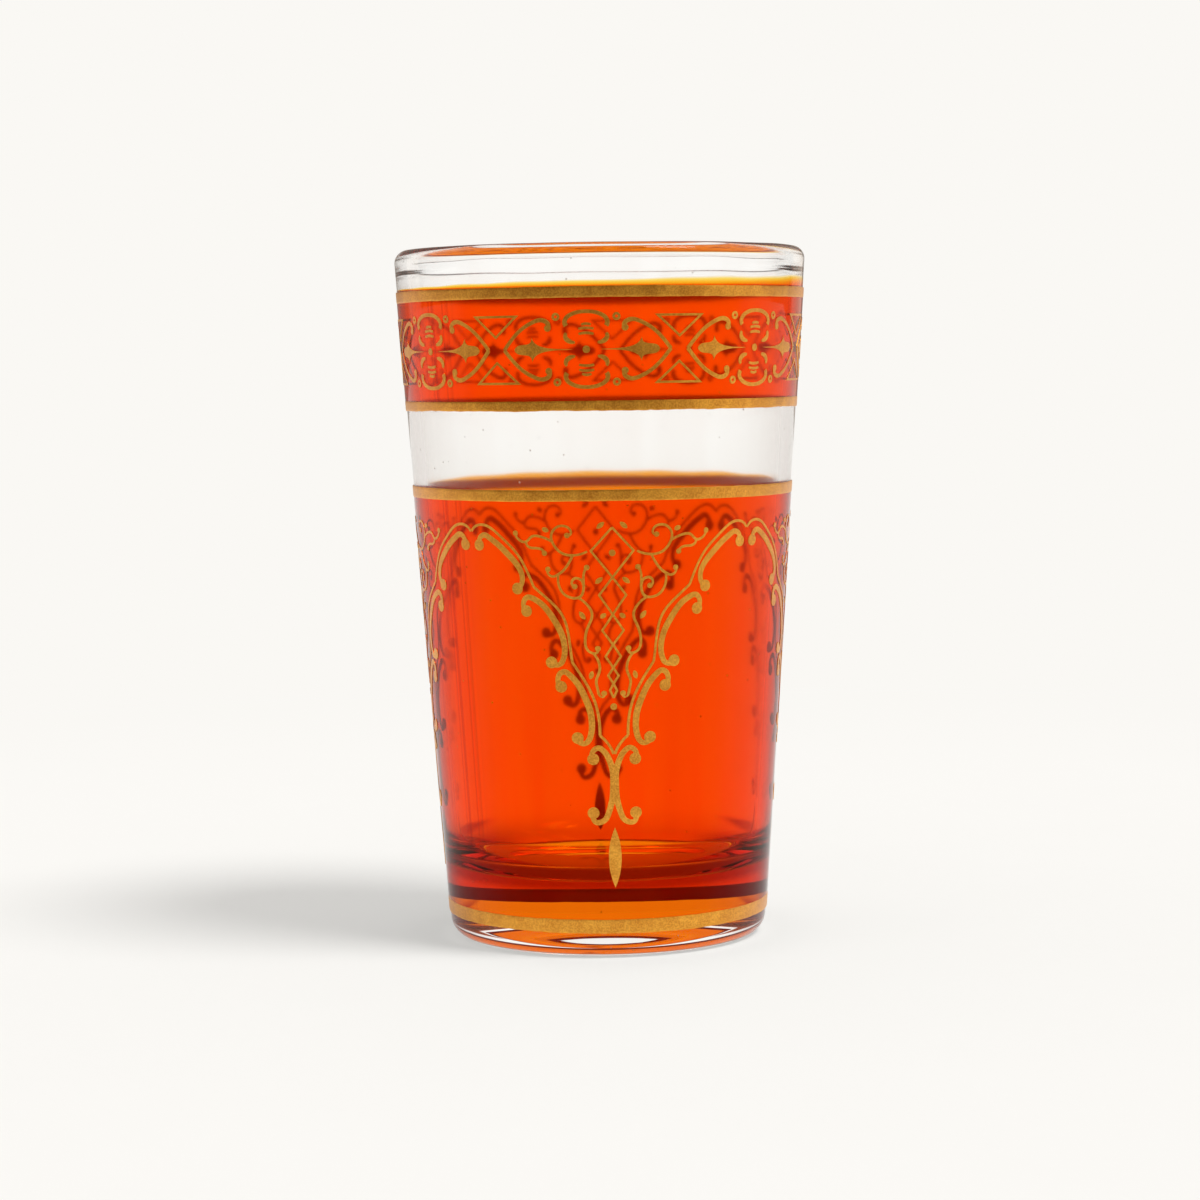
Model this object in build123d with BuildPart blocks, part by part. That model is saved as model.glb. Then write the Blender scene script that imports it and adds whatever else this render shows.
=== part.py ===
from build123d import *
import os
from math import cos, pi, radians, sin

# A Moroccan tea glass, in millimetres: +Z up, origin at the centre of its resting face.
# Overall form of the pressed glass
glass_height = 90.0
rim_diameter = 53.8
foot_diameter = 41.4
wall_thickness = 1.8
lip_thickness = 2.3
lip_depth = 2.0
lip_easing = 1.4
lip_outer_share = 0.70
lip_inner_share = 0.24
neck_round = 3.0
base_thickness = 9.5
floor_dish = 0.5
floor_round = 5.6
foot_round = 2.4
punt_diameter = 29.0
punt_depth = 2.2

# Coloured coats and gilding, as films on the outside of the glass
coat_thickness = 0.10
gilt_thickness = 0.08
coat_overrun = 0.45
film_gap = 0.01

# Gilded bands: the upper three are set out from the rim, the lowest from the foot
clear_lip = 5.35
rim_band_width = 1.55
frieze_field = 12.55
frieze_band_width = 1.45
clear_window = 9.55
shoulder_band_width = 1.6
foot_band_start = 3.15
foot_band_width = 2.0

# Repeats of the ornament, and where the first of each faces, in degrees from the front
frieze_count = 7
frieze_turn = -3.9
festoon_count = 4
festoon_turn = 2.5

# Line widths and dots of the gilded drawing
hair_line = 0.28
fine_line = 0.32
arch_line = 0.46
bar_line = 0.34
petal_line = 0.60
bold_line = 0.60
bold_swell = 0.80
arch_club = 0.42
crest_club = 0.72
scroll_ball = 0.74
tendril_ball = 0.34
lattice_dot = 0.42
ring_outer = 0.50
ring_hole = 0.18
leaf_width = 0.62
drop_width = 1.62
knot_eye = 0.46

# Heights that follow from the sizes above
rim_band_top = glass_height - clear_lip
rim_band_bottom = rim_band_top - rim_band_width
frieze_band_top = rim_band_bottom - frieze_field
frieze_band_bottom = frieze_band_top - frieze_band_width
shoulder_band_top = frieze_band_bottom - clear_window
shoulder_band_bottom = shoulder_band_top - shoulder_band_width
foot_band_top = foot_band_start + foot_band_width
rim_radius = rim_diameter / 2
foot_radius = foot_diameter / 2
reach = rim_diameter

# Lifts of the films off the bare glass: coat from its seat to its face, then gilding on top
coat_lift = film_gap
coat_face = coat_lift + coat_thickness
gilt_lift = coat_face + film_gap
gilt_face = gilt_lift + gilt_thickness

# The two gilded fields: bottom, top and half of one repeat in degrees
frieze_panel = (frieze_band_top, rim_band_bottom, 180 / frieze_count)
festoon_panel = (foot_band_top, shoulder_band_bottom, 180 / festoon_count)


def wall_radius(height):
    """Outer radius of the bare glass at a height: a straight cone from foot to rim."""
    return foot_radius + (rim_radius - foot_radius) * height / glass_height


def conical_ring(*corners):
    """Ring turned about the axis from corners given as (height, lift off the bare glass)."""
    with BuildPart() as ring:
        with BuildSketch(Plane.XZ):
            with BuildLine():
                Polyline(*[(wall_radius(z) + lift, z) for z, lift in corners], close=True)
            make_face()
        revolve(axis=Axis.Z)
    return ring.part


def edge_band(bare_edge, coat_edge):
    """Gilded band over the edge of a coat: half on bare glass, half on the coat, flush outside."""
    middle = (bare_edge + coat_edge) / 2
    past_coat = middle - film_gap if bare_edge < coat_edge else middle + film_gap
    return conical_ring(
        (bare_edge, coat_lift), (past_coat, coat_lift), (past_coat, gilt_lift),
        (coat_edge, gilt_lift), (coat_edge, gilt_face), (bare_edge, gilt_face),
    )


def facing_plane(angle):
    """Upright drawing plane through the axis that faces outwards, at an angle from the front."""
    turn = radians(angle)
    return Plane(origin=(0, 0, 0), x_dir=(cos(turn), sin(turn), 0), z_dir=(sin(turn), -cos(turn), 0))


def spots(panel, facing, shares):
    """Points on a drawing plane from shares of a panel, in percent.

    The first share goes across, with 100 at half a repeat from the motif's axis, and the second
    goes up the panel. The plane's facing angle is taken off before the angle becomes a width.
    """
    bottom, top, half_repeat = panel
    points = []
    for across, up in shares:
        height = bottom + (top - bottom) * up / 100
        turn = radians(half_repeat * across / 100 - facing)
        points.append((wall_radius(height) * sin(turn), height))
    return points


def stroke(points, start_width, middle_width, end_width):
    """Brush stroke in the current sketch: a smooth line whose width swells from end to end."""
    with BuildLine() as path:
        Spline(*points)
    centre = path.edge()
    steps = 2 * (len(points) - 1)
    left_side = []
    right_side = []
    for step in range(steps + 1):
        share = step / steps
        straight = start_width + (end_width - start_width) * share
        swell = (middle_width - (start_width + end_width) / 2) * sin(pi * share)
        across = centre.tangent_at(share).rotate(Axis.Z, 90) * (straight + swell) / 2
        left_side.append(centre.position_at(share) + across)
        right_side.append(centre.position_at(share) - across)
    with BuildLine() as sides:
        Spline(*left_side)
        Line(left_side[-1], right_side[-1])
        Spline(*reversed(right_side))
        Line(right_side[0], left_side[0])
    make_face(sides.edges())


def dot(point, radius):
    """Round dot or ball terminal in the current sketch."""
    with Locations(point):
        Circle(radius)


def leaf(tip, tail, width):
    """Almond leaf between two points in the current sketch, from two equal arcs."""
    with BuildLine() as sides:
        SagittaArc(tip, tail, width / 2)
        SagittaArc(tail, tip, width / 2)
    make_face(sides.edges())


def across_flip(shares):
    """The same shares on the other side of the motif's upright axis."""
    return [(-across, up) for across, up in shares]


def up_flip(shares):
    """The same shares turned over about the panel's level middle."""
    return [(across, 100 - up) for across, up in shares]


def four_ways(shares):
    """A quarter's shares in all four quarters of a motif."""
    lower = up_flip(shares)
    return [shares, across_flip(shares), lower, across_flip(lower)]


# Glass body: thick base with a shallow punt, straight conical wall, rounded lip
rim_inner = rim_radius - lip_thickness
lip_bottom = glass_height - lip_depth
neck_height = lip_bottom - lip_easing
floor_radius = wall_radius(base_thickness) - wall_thickness
with BuildPart() as glass_body:
    with BuildSketch(Plane.XZ) as section:
        with BuildLine():
            Line((0, base_thickness - floor_dish), (0, punt_depth))
            RadiusArc(
                (0, punt_depth), (punt_diameter / 2, 0),
                (punt_diameter**2 / 4 + punt_depth**2) / (2 * punt_depth),
            )
            Polyline(
                (punt_diameter / 2, 0),
                (foot_radius, 0),
                (rim_radius, glass_height),
                (rim_inner, glass_height),
                (wall_radius(lip_bottom) - lip_thickness, lip_bottom),
                (wall_radius(neck_height) - wall_thickness, neck_height),
                (floor_radius, base_thickness),
            )
            RadiusArc(
                (floor_radius, base_thickness), (0, base_thickness - floor_dish),
                (floor_radius**2 + floor_dish**2) / (2 * floor_dish),
            )
        make_face()
        fillet(section.vertices().group_by(Axis.Y)[0].sort_by(Axis.X)[-1], foot_round)
        rim_corners = section.vertices().group_by(Axis.Y)[-1].sort_by(Axis.X)
        fillet(rim_corners[-1], lip_outer_share * lip_thickness)
        fillet(section.vertices().sort_by_distance((rim_inner, glass_height))[0], lip_inner_share * lip_thickness)
        floor_corner = section.vertices().sort_by_distance((floor_radius, base_thickness))[0]
        fillet(floor_corner, floor_round)
        neck_corner = section.vertices().sort_by_distance(
            (wall_radius(neck_height) - wall_thickness, neck_height))[0]
        fillet(neck_corner, neck_round)
    revolve(axis=Axis.Z)
glass_body.part.label = "glass_body"

# Orange coats: the upper one runs a little past its rim band, the other edges end under bands
upper_coat_bottom = (frieze_band_bottom + frieze_band_top) / 2
upper_coat_top = rim_band_top + coat_overrun
lower_coat_bottom = (foot_band_start + foot_band_top) / 2
lower_coat_top = (shoulder_band_bottom + shoulder_band_top) / 2
upper_coat = conical_ring(
    (upper_coat_bottom, coat_lift), (upper_coat_top, coat_lift),
    (upper_coat_top, coat_face), (upper_coat_bottom, coat_face),
)
lower_coat = conical_ring(
    (lower_coat_bottom, coat_lift), (lower_coat_top, coat_lift),
    (lower_coat_top, coat_face), (lower_coat_bottom, coat_face),
)

# Gilded bands
rim_band = conical_ring(
    (rim_band_bottom, gilt_lift), (rim_band_top, gilt_lift),
    (rim_band_top, gilt_face), (rim_band_bottom, gilt_face),
)
frieze_band = edge_band(frieze_band_bottom, frieze_band_top)
shoulder_band = edge_band(shoulder_band_top, shoulder_band_bottom)
foot_band = edge_band(foot_band_start, foot_band_top)

# Gilding as a whole film over each field, from which every motif keeps its own part
frieze_film = conical_ring(
    (frieze_band_top, gilt_lift), (rim_band_bottom, gilt_lift),
    (rim_band_bottom, gilt_face), (frieze_band_top, gilt_face),
)
festoon_film = conical_ring(
    (foot_band_top, gilt_lift), (shoulder_band_bottom, gilt_lift),
    (shoulder_band_bottom, gilt_face), (foot_band_top, gilt_face),
)


def frieze_spots(shares):
    """Points of a frieze motif on the plane that faces its own axis."""
    return spots(frieze_panel, 0, shares)


# Frieze knot: an arched cap and cup, three short bars each way, four petals and an eye
with BuildPart() as knot:
    with BuildSketch(facing_plane(0)):
        cap = [(-21, 73), (-22, 79), (-16, 84), (0, 87), (16, 84), (22, 79), (21, 73)]
        for shares in (cap, up_flip(cap)):
            stroke(frieze_spots(shares), bold_line, arch_line, bold_line)
        for half_width, level in ((8, 65), (8, 70), (5, 74)):
            bar = [(-half_width, level), (0, level + 1), (half_width, level)]
            for shares in (bar, up_flip(bar)):
                stroke(frieze_spots(shares), hair_line, bar_line, hair_line)
        for petal in four_ways([(21, 66), (22, 62), (18, 58), (12, 57)]):
            stroke(frieze_spots(petal), bar_line, petal_line, hair_line)
        dot(frieze_spots([(0, 50)])[0], knot_eye)
    extrude(amount=reach)
    add(frieze_film, mode=Mode.INTERSECT)

# Small rings in the four corners around each knot
with BuildPart() as corner_rings:
    with BuildSketch(facing_plane(0)):
        for corner in four_ways([(32, 82)]):
            with Locations(frieze_spots(corner)[0]):
                Circle(ring_outer)
                Circle(ring_hole, mode=Mode.SUBTRACT)
    extrude(amount=reach)
    add(frieze_film, mode=Mode.INTERSECT)

# Bud on each side of a knot: long tail, two side points, rounded tip
with BuildPart() as bud_pair:
    with BuildSketch(facing_plane(0)):
        inner_edge = [(14, 50), (27, 50.5), (44, 52), (54, 55.5), (59, 62)]
        outer_edge = [(59, 62), (62.5, 56), (70, 55), (79, 50)]
        for flip in (list, across_flip):
            with BuildLine():
                Spline(*frieze_spots(flip(inner_edge)))
                Spline(*frieze_spots(flip(outer_edge)))
                Spline(*frieze_spots(flip(up_flip(outer_edge))))
                Spline(*frieze_spots(flip(up_flip(inner_edge))))
            make_face()
    extrude(amount=reach)
    add(frieze_film, mode=Mode.INTERSECT)

# Pointed arch round each bud, with clubbed ends
with BuildPart() as arch_pair:
    with BuildSketch(facing_plane(0)):
        for quarter in four_ways([(41, 71), (41, 76), (48, 79), (57, 77), (69, 71), (81, 61), (91, 50)]):
            points = frieze_spots(quarter)
            stroke(points, bold_line, arch_line, arch_line)
            dot(points[0], arch_club)
    extrude(amount=reach)
    add(frieze_film, mode=Mode.INTERSECT)

# Hourglass midway between two knots: two outlined triangles, point to point
with BuildPart() as hourglass:
    with BuildSketch(facing_plane(0)):
        triangle = [(-28, 84), (28, 84), (0, 61)]
        for shares in (triangle, up_flip(triangle)):
            with BuildLine():
                Polyline(*frieze_spots(shares), close=True)
            make_face()
        offset(amount=-hair_line, kind=Kind.INTERSECTION, mode=Mode.SUBTRACT)
    extrude(amount=reach)
    add(frieze_film, mode=Mode.INTERSECT)


half_facing = festoon_panel[2] / 2


def half_spots(shares):
    """Points of half a festoon on the plane that faces the middle of that half."""
    return spots(festoon_panel, half_facing, shares)


def axis_spots(shares):
    """Points of a festoon's middle pieces on the plane that faces its axis."""
    return spots(festoon_panel, 0, shares)


# Festoon outline: four bays of a fine line from crest to tip, on both sides of the axis
with BuildPart() as outline:
    with BuildSketch(facing_plane(half_facing)):
        bays = (
            [(100, 92.9), (96, 94.2), (88.5, 94.5), (76.5, 92), (64, 87.8), (56.3, 82.9), (53, 80)],
            [(53, 80), (43, 77), (34, 73.5), (29.4, 67.5), (27.6, 62)],
            [(27.6, 62), (19.2, 57.5), (13, 53), (10, 48.5), (9.5, 44.5)],
            [(9.5, 44.5), (5, 43), (0, 40)],
        )
        for bay in bays:
            stroke(half_spots(bay), fine_line, fine_line, fine_line)
    extrude(amount=reach)
    add(festoon_film, mode=Mode.INTERSECT)
    mirror(about=Plane.YZ)


def scroll_pair(shares, start_radius, end_radius):
    """Bold scroll with ball terminals, on both sides of a festoon's axis."""
    with BuildPart() as pair:
        with BuildSketch(facing_plane(half_facing)):
            points = half_spots(shares)
            stroke(points, bold_line, bold_swell, bold_line)
            dot(points[0], start_radius)
            dot(points[-1], end_radius)
        extrude(amount=reach)
        add(festoon_film, mode=Mode.INTERSECT)
        mirror(about=Plane.YZ)
    return pair.part


# Three bold scrolls down each side of a festoon, each with its hooked start above
crest_scrolls = scroll_pair(
    [(94, 89.7), (93.5, 91), (90, 92.1), (85, 91.5), (78.5, 90), (70.5, 87.5), (64, 85),
     (61, 82.5), (61.5, 80.8), (65, 79.5)],
    crest_club, scroll_ball,
)
middle_scrolls = scroll_pair(
    [(59, 74.2), (61, 76), (58.5, 77.4), (52.5, 77), (46, 75.3), (39.5, 72.2), (34.7, 69),
     (32.7, 66), (33.2, 63.5), (36.5, 61.5), (42.3, 62)],
    scroll_ball, scroll_ball,
)
lower_scrolls = scroll_pair(
    [(36, 56.2), (38, 58.3), (34.5, 59.8), (28.5, 58.6), (24.5, 57), (19, 53.3), (16, 50.3),
     (15, 47.4), (16.3, 44.2), (20, 42.6), (23.3, 42.7), (25.3, 43.9)],
    scroll_ball, scroll_ball,
)

# Hook below the festoon's tip: two crossed crooks that share one stem
with BuildPart() as hook:
    with BuildSketch(facing_plane(0)):
        crook = [(15, 38.8), (15.5, 40.4), (12, 41.5), (6.5, 40.4), (3, 38.1), (1.2, 36), (0.9, 33),
                 (1.5, 29.5), (4, 26.2), (8, 23.9), (13, 23.5), (15.5, 25.8)]
        for shares in (crook, across_flip(crook)):
            points = axis_spots(shares)
            stroke(points, bold_line, bold_swell, bold_line)
            dot(points[0], scroll_ball)
            dot(points[-1], scroll_ball)
    extrude(amount=reach)
    add(festoon_film, mode=Mode.INTERSECT)

# Drop that ends each festoon
with BuildPart() as drop:
    with BuildSketch(facing_plane(0)):
        top, bottom = axis_spots([(0, 22.3), (0, 7.6)])
        leaf(top, bottom, drop_width)
    extrude(amount=reach)
    add(festoon_film, mode=Mode.INTERSECT)

# Lattice of diamonds down the axis, each smaller than the one above
with BuildPart() as diamonds:
    with BuildSketch(facing_plane(0)):
        zigzag = [(0, 94), (14, 88.5), (0, 82.2), (9, 78), (0, 73.4), (7.2, 69.6), (0, 66.2),
                  (5.2, 63.4), (0, 60.7), (3.6, 58.8), (0, 56.9), (2.4, 55.3), (0, 53.5)]
        for shares in (zigzag, across_flip(zigzag)):
            with BuildLine() as side:
                Polyline(*axis_spots(shares))
            trace(side.edges(), line_width=hair_line)
    extrude(amount=reach)
    add(festoon_film, mode=Mode.INTERSECT)

# Tendrils: fine curling lines from the lattice out to the festoon's border
with BuildPart() as tendrils:
    with BuildSketch(facing_plane(half_facing)):
        curls = (
            [(16, 88.4), (25.5, 87.5), (32.5, 88), (38, 90), (39.5, 92.3), (35.5, 94.2), (29.5, 94.3),
             (26.2, 93.2), (29, 92.2)],
            [(39, 90.7), (46.5, 91.9), (53.5, 91.8), (57, 90.7), (61.5, 91), (64.5, 92.7)],
            [(57, 90.7), (55, 89.4), (51.5, 89.2), (44.5, 88)],
            [(25.5, 87.5), (29.5, 85), (35.5, 83), (40.5, 82.5), (42.5, 84.2)],
            [(35.5, 83), (35.7, 81), (32.5, 78.5), (26.5, 77.4), (21.5, 77.6), (18.7, 80), (18.7, 82.7),
             (16.5, 84.6)],
            [(19.2, 80.4), (22, 82), (24.8, 82), (26.7, 81), (24.7, 80.1)],
            [(22.5, 77.4), (17, 75.9), (13.5, 73.4), (16, 70.8), (18.5, 67.4), (15.8, 64.6), (11.5, 64.2),
             (10, 65.3)],
            [(13, 64.1), (9.2, 61.7), (9, 60), (11.3, 57.9), (10.6, 55.6), (8.4, 53.6), (6.2, 54.6)],
        )
        for shares in curls:
            points = half_spots(shares)
            stroke(points, hair_line, fine_line, hair_line)
            dot(points[-1], tendril_ball)
    extrude(amount=reach)
    add(festoon_film, mode=Mode.INTERSECT)
    mirror(about=Plane.YZ)

# Leaves and dots that stand free between the lines
with BuildPart() as leaves:
    with BuildSketch(facing_plane(0)):
        for level in (88, 51.4):
            dot(axis_spots([(0, level)])[0], lattice_dot)
        sprays = ([(6.5, 82.2), (11.5, 80.8)], [(4.5, 73.6), (8.5, 72.6)], [(5, 95.3), (10, 93.8)],
                  [(22.5, 74.2), (18.5, 72.3)], [(14.2, 60), (16, 58)], [(41.5, 93.2), (46, 93.9)])
        for shares in sprays:
            for tips in (shares, across_flip(shares)):
                points = axis_spots(tips)
                leaf(points[0], points[1], leaf_width)
    extrude(amount=reach)
    add(festoon_film, mode=Mode.INTERSECT)


def repeated(motif, count, turn):
    """Copies of a gilded motif all round the glass, the first at an angle from the front."""
    with BuildPart() as ring:
        with PolarLocations(0, count, start_angle=turn):
            add(motif, clean=False)
    return ring.part


pieces = {
    "glass_body": glass_body.part,
    "upper_colour_band": upper_coat,
    "lower_colour_coat": lower_coat,
    "rim_gold_band": rim_band,
    "frieze_gold_band": frieze_band,
    "shoulder_gold_band": shoulder_band,
    "foot_gold_band": foot_band,
    "frieze_knots": repeated(knot.part, frieze_count, frieze_turn),
    "frieze_rings": repeated(corner_rings.part, frieze_count, frieze_turn),
    "frieze_buds": repeated(bud_pair.part, frieze_count, frieze_turn),
    "frieze_arches": repeated(arch_pair.part, frieze_count, frieze_turn),
    "frieze_hourglasses": repeated(hourglass.part, frieze_count, frieze_turn + frieze_panel[2]),
    "festoon_outline": repeated(outline.part, festoon_count, festoon_turn),
    "festoon_crest_scrolls": repeated(crest_scrolls, festoon_count, festoon_turn),
    "festoon_middle_scrolls": repeated(middle_scrolls, festoon_count, festoon_turn),
    "festoon_lower_scrolls": repeated(lower_scrolls, festoon_count, festoon_turn),
    "pendant_hooks": repeated(hook.part, festoon_count, festoon_turn),
    "pendant_drops": repeated(drop.part, festoon_count, festoon_turn),
    "lattice_diamonds": repeated(diamonds.part, festoon_count, festoon_turn),
    "lattice_tendrils": repeated(tendrils.part, festoon_count, festoon_turn),
    "lattice_leaves": repeated(leaves.part, festoon_count, festoon_turn),
}

os.makedirs("parts", exist_ok=True)
for name, piece in pieces.items():
    piece.label = name
    export_step(piece, f"parts/{name}.step")
    print(name, len(piece.solids()), "solids")
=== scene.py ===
# %% [markdown]
# # A gilded tea glass
# The object is a small conical tea glass: pressed clear glass, two see-through orange coats fired
# on its outside, and a gold print on top. The solids of every piece come from the packed model.
# This lesson keeps their places and sizes, gives the smooth pieces a finer surface, and mixes
# the finishes: clear glass, orange coat and gilding.

import bpy
import numpy as np
from mathutils import Matrix


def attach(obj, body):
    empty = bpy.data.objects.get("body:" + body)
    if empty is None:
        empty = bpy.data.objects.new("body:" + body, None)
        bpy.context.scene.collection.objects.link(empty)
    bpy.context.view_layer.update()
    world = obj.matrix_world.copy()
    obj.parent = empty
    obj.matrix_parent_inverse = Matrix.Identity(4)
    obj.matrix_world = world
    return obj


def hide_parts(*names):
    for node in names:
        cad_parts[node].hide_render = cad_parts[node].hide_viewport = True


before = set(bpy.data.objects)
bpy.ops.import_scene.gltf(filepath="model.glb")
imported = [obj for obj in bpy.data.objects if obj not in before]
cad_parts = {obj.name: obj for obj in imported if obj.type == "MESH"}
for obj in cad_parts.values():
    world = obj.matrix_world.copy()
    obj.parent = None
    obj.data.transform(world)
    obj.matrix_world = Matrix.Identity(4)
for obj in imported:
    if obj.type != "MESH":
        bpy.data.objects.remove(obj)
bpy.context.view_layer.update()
MM = 0.001

# %% [markdown]
# ## Turning a profile
# Glass, coats and gilded bands are all round. On the real object they come from a mould and from a
# turntable, so the natural way to draw them is a profile carried round the axis. The profile may
# change a little with the angle, which gives a poured or brushed edge instead of a machined one.

# %% Profile to mesh
TURNS = 288
ANGLE = np.linspace(0, 2 * np.pi, TURNS, endpoint=False)
SHARP = np.radians(38)


def turned(name, radius, height, closed):
    """Surface of revolution on a grid of profile steps by angles.

    The point for step i at angle t is (r sin t, -r cos t, z), so t = 0 faces the viewer. radius and
    height are arrays of profile steps by angles, in millimetres. A closed profile joins its last
    step to its first; an open one starts and ends on the axis, where one point closes it.
    """
    rows = radius if closed else radius[1:-1]
    levels = height if closed else height[1:-1]
    ring = np.stack([rows * np.sin(ANGLE), -rows * np.cos(ANGLE), levels], axis=-1).reshape(-1, 3)
    count = rows.shape[0]
    step = np.arange(count if closed else count - 1)[:, None]
    here = np.arange(TURNS)[None, :]
    after = (here + 1) % TURNS
    above = (step + 1) % count
    quads = np.stack(
        [step * TURNS + here, step * TURNS + after, above * TURNS + after, above * TURNS + here], axis=-1
    ).reshape(-1, 4)
    faces = quads.tolist()
    if not closed:
        poles = np.array([[0, 0, height[0, 0]], [0, 0, height[-1, 0]]])
        first, last = len(ring), len(ring) + 1
        ring = np.concatenate([ring, poles])
        turn = np.arange(TURNS)
        end = (count - 1) * TURNS
        faces += np.stack([np.full(TURNS, first), (turn + 1) % TURNS, turn], axis=-1).tolist()
        faces += np.stack([np.full(TURNS, last), end + turn, end + (turn + 1) % TURNS], axis=-1).tolist()
    mesh = bpy.data.meshes.new(name)
    mesh.from_pydata((ring * MM).tolist(), [], faces)
    corner = ring[quads]
    volume = np.einsum("ij,ij->i", corner[:, 0], np.cross(corner[:, 1], corner[:, 2])).sum()
    volume += np.einsum("ij,ij->i", corner[:, 0], np.cross(corner[:, 2], corner[:, 3])).sum()
    if volume < 0:
        mesh.flip_normals()
    mesh.shade_smooth()
    mesh.set_sharp_from_angle(angle=SHARP)
    piece = bpy.data.objects.new(name, mesh)
    bpy.context.scene.collection.objects.link(piece)
    print(name, len(mesh.vertices), "points,", len(mesh.polygons), "faces, volume sign", np.sign(volume))
    return piece


print("edges count as sharp from", np.degrees(SHARP).round(), "degrees")

# %% [markdown]
# Each new piece stands for one packed node, and hand work shows as a slow wander of an edge. Two
# short functions take care of both.

# %% Standing in, and wandering
def dress(piece, node, finish):
    """Lets a piece stand for a packed node and gives it its finish."""
    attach(piece, "root")
    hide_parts(node)
    piece.data.materials.append(finish)


def ripple(seed, waves, size):
    """Closed curve round the glass that reaches size: a sum of cosines of k t + phase, for k up to waves.

    The heights of the cosines are random and fall as one over the square root of k.
    """
    draw = np.random.default_rng(seed)
    orders = np.arange(1, waves + 1)
    phase = draw.uniform(0, 2 * np.pi, waves)
    weight = draw.normal(0, 1, waves) / orders**0.5
    curve = (weight[:, None] * np.cos(orders[:, None] * ANGLE + phase[:, None])).sum(axis=0)
    return size * curve / np.abs(curve).max()


print("a wander is a curve over", len(ANGLE), "angles")

# %% [markdown]
# ## Mixing finishes with plain maths
# A finish is a graph of nodes. Linking every node by hand hides the idea, so a small class wraps a
# socket and lets Python's operators add the Math nodes: `1 - mask * 0.5` reads as what it does.
# Every other node comes from one method that takes its type, its settings and its sockets.

# %% Sockets that can be added and multiplied
class Mix:
    """One socket of a node tree. Operators on it add Math nodes; add() makes any other node."""

    def __init__(self, tree, socket=None):
        self.tree = tree
        self.socket = socket

    def add(self, kind, settings=None, sockets=None, out=0):
        """A node of a type: settings first, then values or links for its sockets; returns one output."""
        node = self.tree.nodes.new(kind)
        for key, value in (settings or {}).items():
            if key == "stops":
                ramp = node.color_ramp.elements
                while len(ramp) < len(value):
                    ramp.new(0.5)
                for element, (place, colour) in zip(ramp, value):
                    element.position = place
                    element.color = (*colour, 1.0)
            else:
                setattr(node, key, value)
        for key, value in (sockets or {}).items():
            if isinstance(value, Mix):
                self.tree.links.new(value.socket, node.inputs[key])
            else:
                node.inputs[key].default_value = value
        return Mix(self.tree, node.outputs[out])

    def maths(self, operation, *terms):
        """A Math node on values and sockets."""
        return self.add("ShaderNodeMath", {"operation": operation}, dict(enumerate(terms)))

    def __add__(self, other):
        return self.maths("ADD", self, other)

    def __sub__(self, other):
        return self.maths("SUBTRACT", self, other)

    def __rsub__(self, other):
        return self.maths("SUBTRACT", other, self)

    def __mul__(self, other):
        return self.maths("MULTIPLY", self, other)

    __radd__ = __add__
    __rmul__ = __mul__

    def vector(self, operation, *terms, out=0):
        """A Vector Math node on vectors; out names its other output, Value, where the result is a number."""
        return self.add("ShaderNodeVectorMath", {"operation": operation}, dict(enumerate(terms)), out)

    def level(self):
        """This position without its height: it points straight away from the glass's axis."""
        return self.vector("MULTIPLY", self, (1, 1, 0))

    def axes(self):
        """The three coordinates of this vector."""
        split = self.add("ShaderNodeSeparateXYZ", {}, {0: self})
        return [Mix(self.tree, socket) for socket in split.socket.node.outputs]

    def rise(self, low, high):
        """0 below low, 1 above high and a smooth step between; low may be the larger one."""
        return self.add(
            "ShaderNodeMapRange", {"interpolation_type": "SMOOTHSTEP"}, {0: self, 1: low, 2: high}
        )

    def blend(self, under, over):
        """Colour that goes from under to over as this value goes from 0 to 1."""
        return self.add("ShaderNodeMix", {"data_type": "RGBA"}, {0: self, 6: under, 7: over}, 2)

    def cloud(self, scale, detail, stretch=(1, 1, 1)):
        """Noise from 0 to 1 on this vector, first stretched along its axes."""
        place = self.vector("MULTIPLY", self, stretch)
        return self.add("ShaderNodeTexNoise", {}, {"Vector": place, "Scale": scale, "Detail": detail})

    def rays(self):
        """Masks that are 1 for one kind of ray: seen straight, seen through glass, seen in a mirror."""
        path = self.add("ShaderNodeLightPath").socket.node.outputs
        kinds = ("Is Camera Ray", "Is Transmission Ray", "Is Glossy Ray")
        return [Mix(self.tree, path[kind]) for kind in kinds]


print("steps of a mix:", [name for name in vars(Mix) if not name.startswith("_")])

# %% [markdown]
# A finish always starts and ends the same way: a new material with the coordinates of the object,
# and a list of what goes into its shader, as plain numbers or as sockets.

# %% Start and end of a finish
def finish_start(name):
    """A new material: its tree wrapped, its Principled shader and its Object coordinates."""
    made = bpy.data.materials.new(name)
    made.use_nodes = True
    tree = Mix(made.node_tree)
    shader = made.node_tree.nodes["Principled BSDF"]
    place = tree.add("ShaderNodeTexCoord", out="Object")
    return made, tree, shader, place


def feed(tree, shader, sockets):
    """Sets plain numbers on the shader's own sockets, links the ones that vary, and counts the nodes."""
    for key, value in sockets.items():
        if isinstance(value, Mix):
            tree.tree.links.new(value.socket, shader.inputs[key])
        else:
            shader.inputs[key].default_value = value
    print("finish with", len(tree.tree.nodes), "nodes and", len(sockets), "fed sockets")


print("materials before the finishes:", len(bpy.data.materials))

# %% [markdown]
# ## The cone
# Every piece lies on one cone, so its radius at a height is the one formula that all of them share.

# %% Outer wall
GLASS_HEIGHT, RIM_RADIUS, FOOT_RADIUS = 90.0, 26.9, 20.7
SPLAY = (RIM_RADIUS - FOOT_RADIUS) / GLASS_HEIGHT


def wall(height):
    """Outer radius at a height: a straight cone from the foot to the rim."""
    return FOOT_RADIUS + SPLAY * np.asarray(height)


print("wall leans", np.degrees(np.arctan(SPLAY)).round(2), "degrees")

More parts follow.
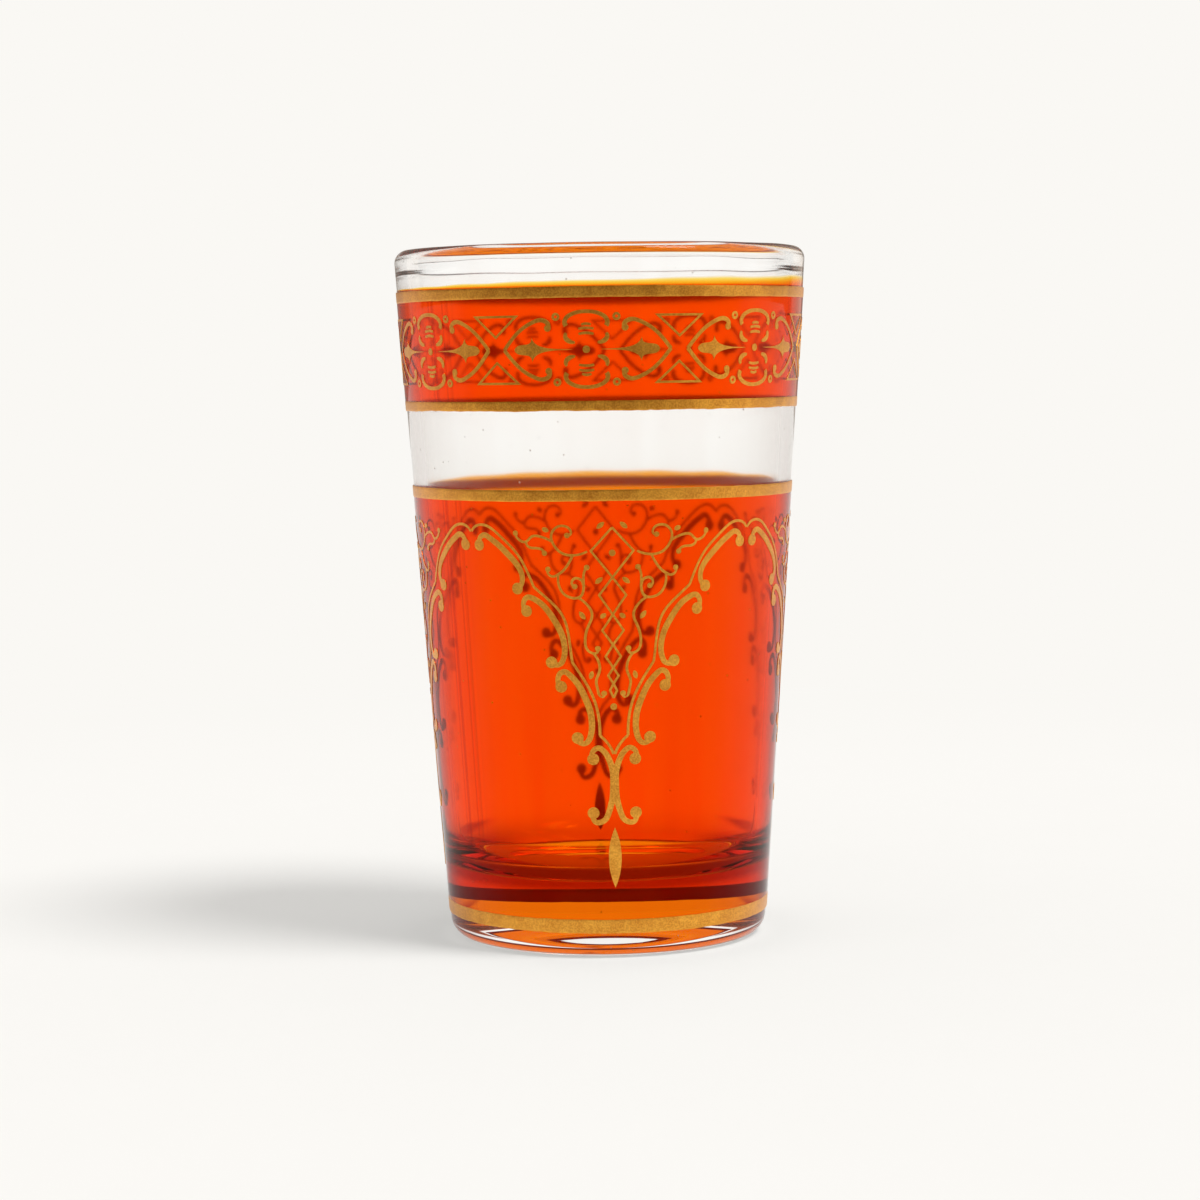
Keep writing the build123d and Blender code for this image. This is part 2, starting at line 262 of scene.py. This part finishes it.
# %% [markdown]
# ## The clear glass
# Pressed glass is nearly colourless and fire polished, but never perfect: the wall is a little wavy,
# has faint upright veils, and fine dust and seeds sit in it. The side that the plunger pressed is
# less true, so the print on the far side looks soft. Where the outer wall is seen edge on, its colour
# is painted a darker shade. The depth of a point below the cone tells the inner side from the outer.

# %% Masks of the clear glass
CLEAR, VEILED, EDGE_SHADE = (0.998, 0.995, 0.988, 1), (0.975, 0.962, 0.950, 1), (0.62, 0.55, 0.52, 1)
SEED = (0.45, 0.43, 0.40, 1)
clear_glass, tree, shader, place = finish_start("clear_pressed_glass")
up = place.axes()[2]
level = place.level()
depth_in = FOOT_RADIUS * MM + up * SPLAY - level.vector("LENGTH", level, out="Value")
plunger_side = depth_in.rise(0.5 * MM, 1.2 * MM) * up.rise(12 * MM, 26 * MM)
mould_side = depth_in.rise(0.5 * MM, 0.2 * MM) * up.rise(87 * MM, 84 * MM)
grazing = place.add("ShaderNodeLayerWeight", {}, {"Blend": 0.5}, "Facing")
seeds = place.add("ShaderNodeTexVoronoi", {}, {"Vector": place, "Scale": 330.0}, "Distance")
seeds = seeds.rise(0.055, 0.03)
veils = place.cloud(150.0, 2.0, (1, 1, 0.04)).rise(0.45, 0.70)
swell = place.cloud(90.0, 2.0, (1, 1, 0.35))
print("masks of the clear glass:", len(tree.tree.nodes), "nodes so far")

# %% [markdown]
# The masks choose between a few tones. The main ones stay close to white, because light crosses
# four surfaces of glass and every tint counts each time. A faint bump bends the view a little.

# %% Clear glass finish
# painted shade: the outer wall's colour darkens where it is seen edge on
glass_colour = (grazing.rise(0.22, 0.85) * mould_side).blend(veils.blend(CLEAR, VEILED), EDGE_SHADE)
glass_bump = place.add("ShaderNodeBump", {}, {"Strength": 0.05, "Distance": 0.4 * MM, "Height": swell})
feed(tree, shader, {
    "Base Color": seeds.blend(glass_colour, SEED),
    "Roughness": 0.012 + seeds * 0.3 + plunger_side * 0.09,
    "IOR": 1.46,
    "Specular Tint": (0.3, 0.3, 0.3, 1),
    "Transmission Weight": 1.0,
    "Normal": glass_bump,
})

# %% [markdown]
# ## The orange coat
# The coat is a thin see-through glaze, sprayed on a turning glass and fired. Light that passes two
# layers is deep orange red, one layer is amber. So the colour belongs to the film and the depth
# comes by itself from looking through front and back. The film is uneven: faint clouds, upright
# streaks from the spraying and a few runs on one side. It turns darker towards the bottom, a painted
# shade makes a darker ring low on the viewer's side, and edge on a painted shade darkens it further.

# %% Film of the coat
LIGHT_FILM, DEEP_FILM, RUN_FILM = (1.0, 0.258, 0.002, 1), (0.995, 0.205, 0.001, 1), (0.62, 0.06, 0.001, 1)
# of the three tones on the next line, the second and the third are painted shade
LOW_FILM, LOW_SHADE_FILM, EDGE_SHADE_FILM = (0.80, 0.125, 0.001, 1), (0.50, 0.050, 0.001, 1), (0.32, 0.07, 0.035, 1)
orange_coat, tree, shader, place = finish_start("fired_orange_coat")
clouds = place.cloud(45.0, 3.0, (1, 1, 0.6)).rise(0.3, 0.75)
streaks = place.cloud(420.0, 2.0, (1, 1, 0.02)).rise(0.45, 0.75)
film = (clouds * 0.5 + streaks * 0.5).blend(LIGHT_FILM, DEEP_FILM)
level = place.level()
outward = level.vector("NORMALIZE", level)
aside, away = outward.axes()[:2]
near = away.rise(0.1, -0.3)
runs = outward.cloud(46.0, 2.0).rise(0.50, 0.62) * aside.rise(-0.62, -0.74) * near
film = (runs * 0.5).blend(film, RUN_FILM)
up = place.axes()[2]
# darker towards the bottom
film = (up.rise(14 * MM, 8 * MM) * 0.8).blend(film, LOW_FILM)
# painted shade: a darker ring low on the side that faces the viewer
low_shade_ring = up.rise(8.2 * MM, 9.4 * MM) * up.rise(12.1 * MM, 11.2 * MM) * near
film = low_shade_ring.blend(film, LOW_SHADE_FILM)
grazing = place.add("ShaderNodeLayerWeight", {}, {"Blend": 0.5}, "Facing")
# painted shade where the film is seen edge on
film = grazing.rise(0.55, 0.80).blend(film, EDGE_SHADE_FILM)
print("film of the coat:", len(tree.tree.nodes), "nodes so far")

# %% [markdown]
# Where the spray ran out above a band, the film thins from orange through yellow to nothing. The mesh
# carries that as an attribute, `thin`, so a colour ramp can follow it.

# %% Orange coat finish
thin = place.add("ShaderNodeAttribute", {"attribute_name": "thin"}, out="Fac")
fringe = thin.add("ShaderNodeValToRGB", {"stops": [
    (0.0, (1.0, 0.30, 0.01)), (0.35, (1.0, 0.52, 0.03)), (0.7, (1.0, 0.75, 0.16)), (1.0, (1.0, 0.97, 0.88)),
]}, {0: thin})
feed(tree, shader, {
    "Base Color": thin.rise(0.0, 0.1).blend(film, fringe),
    "Roughness": 0.015 + place.cloud(70.0, 3.0) * 0.02,
    "IOR": 1.22,
    "Specular Tint": (0.5, 0.17, 0.03, 1),
    "Transmission Weight": 1.0,
})

# %% [markdown]
# ## The gilding
# The gold is a fired print: a satin metal with a fine grain, a little darker where it is rubbed, and
# a thin gloss of flux on top. Its underside, seen through the glass, is painted a dull brown shade, so
# the colour looks at which way the surface faces: gold outwards from the axis, painted shade inwards.

# %% Gilding finish
# the third tone is painted shade for the inward-facing underside
DARK_GOLD, PALE_GOLD, UNDERSIDE_SHADE = (0.66, 0.235, 0.005, 1), (1.0, 0.490, 0.045, 1), (0.55, 0.070, 0.004, 1)
gilding, tree, shader, place = finish_start("satin_gilding")
level = place.level()
outward = level.vector("NORMALIZE", level)
facing = place.add("ShaderNodeNewGeometry", out="Normal")
inward = outward.vector("DOT_PRODUCT", facing, outward, out="Value").rise(-0.2, -0.6)
grain = place.cloud(5200.0, 2.0)
rub = place.cloud(520.0, 3.0)
tone = grain.rise(0.38, 0.64) * 0.6 + rub.rise(0.35, 0.75) * 0.4
gold_bump = place.add("ShaderNodeBump", {}, {"Strength": 0.35, "Distance": 0.03 * MM, "Height": grain})
feed(tree, shader, {
    "Base Color": inward.blend(tone.blend(DARK_GOLD, PALE_GOLD), UNDERSIDE_SHADE),
    "Metallic": 1.0,
    "Roughness": 0.36 + rub * 0.16,
    "Coat Weight": (1 - inward) * 0.6,
    "Coat Roughness": 0.38,
    "Normal": gold_bump,
})

# %% [markdown]
# ## The glass body
# The real body is pressed in a mould: a thick base with a hollow under it, a straight cone outside,
# a wall of even thickness and a rounded lip with a bead inside. One profile gives all of it, so
# the first two functions round the corners of a line by arcs and split its long spans.

# %% Lines with round corners
def rounded(corners, radii, steps=14):
    """Line of corners in which each corner becomes an arc.

    The arc touches both legs at radius times tan(half the turn) from the corner; its points are a
    spoke of that radius, swung about the arc's centre through the turn.
    """
    corners = np.asarray(corners, float)
    line = [corners[:1]]
    for before, corner, after, radius in zip(corners, corners[1:], corners[2:], radii):
        into = (corner - before) / np.linalg.norm(corner - before)
        away = (after - corner) / np.linalg.norm(after - corner)
        side = np.sign(into[0] * away[1] - into[1] * away[0])
        turn = np.arccos(np.clip(into @ away, -1, 1))
        centre = corner - into * radius * np.tan(turn / 2) + side * radius * np.array([-into[1], into[0]])
        swing = np.linspace(0, turn, steps)[:, None] * side
        spoke = -side * np.array([-into[1], into[0]])
        across = np.array([-spoke[1], spoke[0]])
        line.append(centre + radius * (np.cos(swing) * spoke + np.sin(swing) * across))
    line.append(corners[-1:])
    return np.concatenate(line)


def refined(line, longest):
    """The same line with points added so that no span is longer than a given length."""
    spans = np.linalg.norm(np.diff(line, axis=0), axis=1)
    along = np.concatenate([[0], np.cumsum(spans)])
    pieces = np.maximum(1, np.ceil(spans / longest)).astype(int)
    stops = [np.linspace(a, b, n, endpoint=False) for a, b, n in zip(along, along[1:], pieces)]
    places = np.concatenate([*stops, along[-1:]])
    return np.stack([np.interp(places, along, line[:, 0]), np.interp(places, along, line[:, 1])], axis=1)


print("a square corner:", len(rounded([(0, 0), (1, 0), (1, 1)], [0.5])), "points")

# %% [markdown]
# The profile runs from the middle of the hollow, round the foot, up the cone, over the lip and down
# the inner wall to the middle of the dished floor. The hollow and the dish are flat parabolas.

# %% Profile of the glass
WALL, LIP, LIP_DEPTH, LIP_EASING = 1.8, 2.3, 2.0, 1.4
BASE, DISH, PUNT_RADIUS, PUNT = 9.5, 0.5, 14.5, 2.2
PUNT_ROUND, FOOT_ROUND, LIP_OUTER_ROUND, LIP_INNER_ROUND = 0.5, 2.4, 0.70 * LIP, 0.24 * LIP
BEAD_ROUND, NECK_ROUND, FLOOR_ROUND = 1.2, 3.0, 5.6
LONGEST_SPAN = 2.0
punt_rise = np.linspace(0, 1, 14)
punt_line = np.stack([PUNT_RADIUS * punt_rise, PUNT * (1 - punt_rise**2)], axis=1)
lip_bottom = GLASS_HEIGHT - LIP_DEPTH
neck = lip_bottom - LIP_EASING
floor_radius = wall(BASE) - WALL
dish_run = np.linspace(0.70, 0, 14)[:, None]
dish_line = np.concatenate([dish_run * floor_radius, BASE - DISH * (1 - dish_run**2)], axis=1)
body_corners = [
    punt_line[-2], (PUNT_RADIUS, 0), (FOOT_RADIUS, 0), (RIM_RADIUS, GLASS_HEIGHT),
    (RIM_RADIUS - LIP, GLASS_HEIGHT), (wall(lip_bottom) - LIP, lip_bottom),
    (wall(neck) - WALL, neck), (floor_radius, BASE), dish_line[0],
]
body_line = rounded(body_corners, [
    PUNT_ROUND, FOOT_ROUND, LIP_OUTER_ROUND, LIP_INNER_ROUND, BEAD_ROUND, NECK_ROUND, FLOOR_ROUND,
])
body_line = np.concatenate([punt_line[:-2], body_line, dish_line[1:]])
distinct = np.r_[True, np.linalg.norm(np.diff(body_line, axis=0), axis=1) > 1e-6]
body_line = refined(body_line[distinct], LONGEST_SPAN)
print("profile:", len(body_line), "points, height", body_line[:, 1].max(), "radius", body_line[:, 0].max())

# %% [markdown]
# The plunger side of pressed glass is never true. The inner wall gets a slow ripple of a few
# hundredths of a millimetre, which dies out at the floor and at the rim, and the bead under the lip
# wanders up and down by more than a tenth.

# %% Turn the glass
RIPPLE_START, FLOOR_EASE = BASE + 3.5, 8
RIPPLE_END, RIM_EASE = GLASS_HEIGHT - 1.5, 2
BEAD_MIDDLE, BEAD_REACH, BEAD_WANDER = neck + 0.8, 2.2, 0.16
radius = np.repeat(body_line[:, :1], TURNS, axis=1)
height = np.repeat(body_line[:, 1:], TURNS, axis=1)
inside = (radius < wall(height) - WALL / 2) & (height > RIPPLE_START)
fade_in = np.clip((height - RIPPLE_START) / FLOOR_EASE, 0, 1)
fade_in = fade_in * np.clip((RIPPLE_END - height) / RIM_EASE, 0, 1)
slow = ripple(3, 9, 0.05) * np.cos(height / 23) + ripple(4, 14, 0.03) * np.sin(height / 11 + 1)
radius = radius + np.where(inside, slow * fade_in, 0)
bead = np.exp(-(((height - BEAD_MIDDLE) / BEAD_REACH) ** 2))
height = np.minimum(height + np.where(inside, ripple(5, 16, BEAD_WANDER) * bead, 0), GLASS_HEIGHT)
glass = turned("pressed_glass", radius, height, False)
dress(glass, "glass_body", clear_glass)

# %% [markdown]
# ## The two coats
# On the real glass the coats are fused to the wall, with no air between. Each coat is a closed
# shell that starts just inside the glass and ends just above the seat of the gilding, so light finds no
# gap on its way. The upper coat was sprayed a little past its rim band, more on one side, and the
# lower one a little past its shoulder band at the back: that fringe gets its own rows, with an
# attribute that grows as the film runs out.

# %% Shell of a coat
SEAT, FACE, THINNED, RUN_OUT = -0.02, 0.135, 0.02, 0.008
COVERED, CLOSE_ROWS = 1.2, 1.0


def coat(name, bottom, top, fringe, paling):
    """Closed shell on the cone between two heights; above the top a fringe thins out to the glass.

    Up the outside the lift is FACE, then it falls to THINNED over the last stretch below the top,
    which a gilded band covers, and on to RUN_OUT over the fringe; the way back down runs at SEAT,
    inside the glass. fringe is the fringe's height at each angle, and paling says how far its
    colour runs out on the way up.
    """
    levels = np.concatenate([np.linspace(bottom, top - COVERED, 12), np.linspace(top - CLOSE_ROWS, top, 6)])
    run = levels[:, None] + np.zeros(TURNS)
    share = np.linspace(0, 1, 9)[1:, None]
    out_height = np.concatenate([run, top + share * fringe])
    fall = np.clip((levels - top + COVERED) / COVERED, 0, 1)
    lift = np.concatenate([FACE + (THINNED - FACE) * fall, THINNED + (RUN_OUT - THINNED) * share[:, 0]])
    thin = np.concatenate([np.zeros(len(levels)), paling * share[:, 0]])[:, None] + np.zeros(TURNS)
    heights = np.concatenate([out_height, out_height[::-1]])
    lifts = np.concatenate([lift[:, None] + np.zeros(TURNS), np.full_like(out_height, SEAT)])
    shell = turned(name, wall(heights) + lifts, heights, True)
    mark = shell.data.attributes.new("thin", "FLOAT", "POINT")
    mark.data.foreach_set("value", np.concatenate([thin, thin[::-1]]).ravel().astype(np.float32))
    return shell


print("coat stands", FACE, "mm off the bare glass")

# %% [markdown]
# Each coat starts halfway under a gilded band. The upper one ends at the top of the rim band, the lower
# one a little past the middle of the shoulder band, and a fringe follows. So the bands' heights are
# settled here, from the same measures as the packed solids.

# %% Coats
BAND = {"rim": (83.1, 84.65), "frieze": (69.1, 70.55), "shoulder": (57.95, 59.55), "foot": (3.15, 5.15)}
LEAST_FRINGE, PAST_MIDDLE = 0.2, 0.4
frieze_middle = sum(BAND["frieze"]) / 2
shoulder_middle = sum(BAND["shoulder"]) / 2
foot_middle = sum(BAND["foot"]) / 2
rim_fringe = np.clip(0.78 + 0.55 * np.sin(ANGLE) + ripple(7, 24, 0.18), LEAST_FRINGE, None)
upper = coat("upper_orange_coat", frieze_middle, BAND["rim"][1], rim_fringe, 1.0)
dress(upper, "upper_colour_band", orange_coat)
shoulder_fringe = np.clip(0.25 - 0.8 * np.cos(ANGLE) + ripple(8, 24, 0.12), LEAST_FRINGE, None)
lower = coat("lower_orange_coat", foot_middle, shoulder_middle + PAST_MIDDLE, shoulder_fringe, 0.3)
dress(lower, "lower_colour_coat", orange_coat)

# %% [markdown]
# ## The gilded bands
# A band is pulled with a brush while the glass turns, so its edges waver by a few hundredths
# of a millimetre and it is thickest in its middle. Where a band covers the end of a coat, it
# lies half on the coat and half on bare glass, so its seat goes just into the glass.

# %% Bands
EDGE_ROOM, BAND_LIFT, BAND_CROWN = 0.05, 0.14, 0.03
ON_COAT, IN_GLASS = 0.11, -0.04


def gilt_band(name, bottom, top, seat, seed, ragged):
    """Ring on the cone: a low arch across the band, with edges that waver round the glass.

    ragged is how far the lower and the upper edge are frayed, always towards the band's middle.
    """
    across = np.linspace(-1, 1, 13)[:, None]
    low = bottom + EDGE_ROOM + ragged[0] + ripple(seed, 120, ragged[0]) + ripple(seed + 1, 7, EDGE_ROOM)
    high = top - EDGE_ROOM - ragged[1] + ripple(seed + 2, 120, ragged[1]) + ripple(seed + 3, 7, EDGE_ROOM)
    heights = (low + high) / 2 + across * (high - low) / 2
    lifts = BAND_LIFT + BAND_CROWN * (1 - across**6) + np.zeros(TURNS)
    heights = np.concatenate([heights, heights[::-1]])
    lifts = np.concatenate([lifts, np.full_like(lifts, seat)])
    return turned(name, wall(heights) + lifts, heights, True)


rim_band = gilt_band("rim_gilt_band", *BAND["rim"], ON_COAT, 11, (0.04, 0.04))
dress(rim_band, "rim_gold_band", gilding)
frieze_band = gilt_band("frieze_gilt_band", *BAND["frieze"], IN_GLASS, 21, (0.11, 0.03))
dress(frieze_band, "frieze_gold_band", gilding)
shoulder_band = gilt_band("shoulder_gilt_band", *BAND["shoulder"], IN_GLASS, 31, (0.03, 0.04))
dress(shoulder_band, "shoulder_gold_band", gilding)
foot_band = gilt_band("foot_gilt_band", *BAND["foot"], IN_GLASS, 41, (0.06, 0.06))
dress(foot_band, "foot_gold_band", gilding)

# %% [markdown]
# ## The gold print
# The frieze and the festoons are printed motifs. Their packed solids already have the right
# shapes on the right cone, so they stay, and only take the gilding finish.

# %% Gild the motifs
motifs = [name for name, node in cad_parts.items() if not node.hide_render]
for name in motifs:
    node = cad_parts[name]
    node.data.materials.clear()
    node.data.materials.append(gilding)
print("gilded motifs:", len(motifs))

# %% [markdown]
# ## The room
# The glass stands in a bright, plain studio: white behind and above, dimmer on the viewer's side.
# Glass shows what is around it, so the room matters more than the lamps: the pale back gives the
# clear parts their brightness, and the dimmer front lets the orange stay deep. Bearings are angles
# from straight behind, to the right. The mirrored room has a pale backdrop with a dark flag before
# it, and a pale panel at the right, which the gold picks up.

# %% What the glass mirrors
world = bpy.data.worlds.new("studio")
world.use_nodes = True
bpy.context.scene.world = world
room = Mix(world.node_tree)
side, ahead, up = room.add("ShaderNodeTexCoord", out="Generated").axes()
bearing = side.maths("ARCTAN2", side, ahead)
left_edge, right_edge = np.radians(-59.0), np.radians(42.0)
backdrop = bearing.rise(left_edge - 0.02, left_edge + 0.02)
backdrop = backdrop * bearing.rise(right_edge + 0.05, right_edge - 0.05)
dark_flag = bearing.rise(-0.80, -0.70) * bearing.rise(0.36, 0.26)
pale_panel = bearing.rise(1.1, 1.4) * bearing.rise(2.5, 2.1)
mirrored = (backdrop * (1 - dark_flag * 0.8)).blend((0.17, 0.145, 0.125, 1), (0.95, 0.80, 0.66, 1))
mirrored = pale_panel.blend(mirrored, (0.92, 0.86, 0.78, 1))
print("backdrop from", left_edge.round(2), "to", right_edge.round(2))

# %% [markdown]
# Four kinds of ray look at the room. Light that falls on a matt surface finds one even grey, and a
# mirror finds the backdrop. Through the glass the room is bright behind and above, and the camera
# sees one pale tone.

# %% Room
BACKGROUND = (0.956, 0.939, 0.905, 1)
EVEN_LIGHT = (0.74, 0.74, 0.74, 1)
open_room = ahead.maths("MAXIMUM", ahead.rise(0.2, 0.9), up.rise(0.35, 0.75))
seen_through = open_room.blend((0.50, 0.48, 0.46, 1), (1.0, 0.985, 0.955, 1))
straight, through, mirror = room.rays()
tint = mirror.blend(EVEN_LIGHT, mirrored)
tint = through.blend(tint, seen_through)
tint = straight.blend(tint, BACKGROUND)
room.tree.links.new(tint.socket, world.node_tree.nodes["Background"].inputs["Color"])
print("room:", len(room.tree.nodes), "nodes")

# %% [markdown]
# ## The lamp
# One broad, soft lamp stands high at the right, a little in front. It throws the soft shadow that
# runs away to the left. A sun lamp with a wide angle gives that softness evenly.

# %% Lamp
lamp_data = bpy.data.lights.new("soft_key", "SUN")
lamp_data.energy = 1.25
lamp_data.angle = np.radians(22)
lamp = bpy.data.objects.new("soft_key", lamp_data)
bpy.context.scene.collection.objects.link(lamp)
toward_lamp = np.array([0.80, -0.42, 1.5])
toward_lamp = toward_lamp / np.linalg.norm(toward_lamp)
lamp_x = np.cross([0, 0, 1], toward_lamp)
lamp_x = lamp_x / np.linalg.norm(lamp_x)
lamp_axes = np.stack([lamp_x, np.cross(toward_lamp, lamp_x), toward_lamp], axis=1)
lamp.matrix_world = Matrix(lamp_axes.tolist()).to_4x4()
print("lamp from", toward_lamp.round(3))

# %% [markdown]
# ## The floor
# The floor is plain and pale, and far from the glass it melts into the background. Orange light falls
# through a real glass on what it stands on, so a painted patch of orange light lies under the base where
# it is seen through the glass, with one painted bright spot of gathered light behind. In mirrors the floor
# has a painted shade that gets dimmer towards the viewer.

# %% Floor tones
# the first tone is painted orange light under the glass, the second is painted shade seen in mirrors
PAINTED_CAUSTIC, DIM_FRONT = (0.42, 0.036, 0.001, 1), (0.22, 0.21, 0.20, 1)
floor_finish, tree, shader, place = finish_start("pale_floor")
feed(tree, shader, {
    "Base Color": place.cloud(30.0, 3.0).blend((0.895, 0.879, 0.847, 1), (0.905, 0.889, 0.857, 1)),
    "Roughness": 0.9,
    "Specular IOR Level": 0.0,
})
through, mirror = tree.rays()[1:]
distance = place.vector("LENGTH", place, out="Value")
aside, away = place.axes()[:2]
aside = aside.maths("ABSOLUTE", aside)
# painted light: the orange patch under and beside the base, seen through the glass
caustic_sides = aside.rise(18 * MM, 24 * MM) * distance.rise(75 * MM, 50 * MM)
under = distance.maths("MAXIMUM", distance.rise(40 * MM, 22 * MM), caustic_sides)
# painted highlight: one bright spot of gathered light behind the base
caustic_spot = away.rise(14 * MM, 21 * MM) * aside.rise(16 * MM, 10 * MM)
dim = mirror * (1 - through) * away.rise(-60 * MM, -250 * MM)
pale = (under * (1 - caustic_spot)).blend(dim.blend(BACKGROUND, DIM_FRONT), PAINTED_CAUSTIC)
faded = distance.maths("MAXIMUM", distance.rise(130 * MM, 300 * MM), through * under * 0.9)
print("floor tones:", len(tree.tree.nodes), "nodes")

# %% [markdown]
# The floor is a wide, thin disc a hair below the foot. The soft light of the room passes through glass
# and coats, so they don't darken the floor round them; the lamp's shadow stays.

# %% Floor
FLOOR_TOP, FLOOR_BOTTOM, FLOOR_RADIUS = -0.03, -1.0, 2000.0
glow = tree.add("ShaderNodeEmission", {}, {"Color": pale, "Strength": 1.0})
whole = tree.add("ShaderNodeMixShader", {}, {0: faded, 1: Mix(tree.tree, shader.outputs[0]), 2: glow})
tree.tree.links.new(whole.socket, tree.tree.nodes["Material Output"].inputs["Surface"])
floor_heights = np.array([FLOOR_TOP, FLOOR_TOP, FLOOR_BOTTOM, FLOOR_BOTTOM])[:, None] + np.zeros(TURNS)
floor_radii = np.array([0.0, FLOOR_RADIUS, FLOOR_RADIUS, 0.0])[:, None] + np.zeros(TURNS)
floor = turned("floor", floor_radii, floor_heights, False)
floor.data.materials.append(floor_finish)
for piece in [glass, upper, lower]:
    piece.visible_diffuse = False

# %% [markdown]
# ## The camera
# The viewpoint is a little above the middle of the glass, about four tenths of a metre away, through
# a long lens, and the picture leans by less than a degree.

# %% Camera
FOCAL_PIXELS, IMAGE_PIXELS, SENSOR = 3114.3, 1200.0, 36.0
eye = np.array([-0.53, -410.0, 75.3]) * MM
pitch, roll = np.radians(4.379), np.radians(0.793)
forward = np.array([0, np.cos(pitch), -np.sin(pitch)])
upward = np.array([0, np.sin(pitch), np.cos(pitch)])
right = np.array([1.0, 0, 0])
axis_x = np.cos(roll) * right - np.sin(roll) * upward
axis_y = np.sin(roll) * right + np.cos(roll) * upward
camera_data = bpy.data.cameras.new("viewer")
camera_data.sensor_width = SENSOR
camera_data.lens = FOCAL_PIXELS / IMAGE_PIXELS * SENSOR
camera_data.clip_start = 0.01
camera = bpy.data.objects.new("viewer", camera_data)
bpy.context.scene.collection.objects.link(camera)
placed = Matrix(np.stack([axis_x, axis_y, -forward], axis=1).tolist()).to_4x4()
placed.translation = eye
camera.matrix_world = placed
print("lens", round(camera_data.lens, 2), "mm")

# %% [markdown]
# Light has to cross many surfaces of glass, so it may bounce and pass often. Light that the glass would
# gather on the floor is left out: a painted patch of orange light on the floor stands for it.

# %% Picture
scene = bpy.context.scene
scene.camera = camera
scene.view_settings.view_transform = "Standard"
scene.cycles.max_bounces = 32
scene.cycles.transmission_bounces = 32
scene.cycles.glossy_bounces = 16
scene.cycles.caustics_refractive = False
scene.cycles.caustics_reflective = False
print("bounces:", scene.cycles.max_bounces)

# %% [markdown]
# ## The end

# %% The end
print("the end")
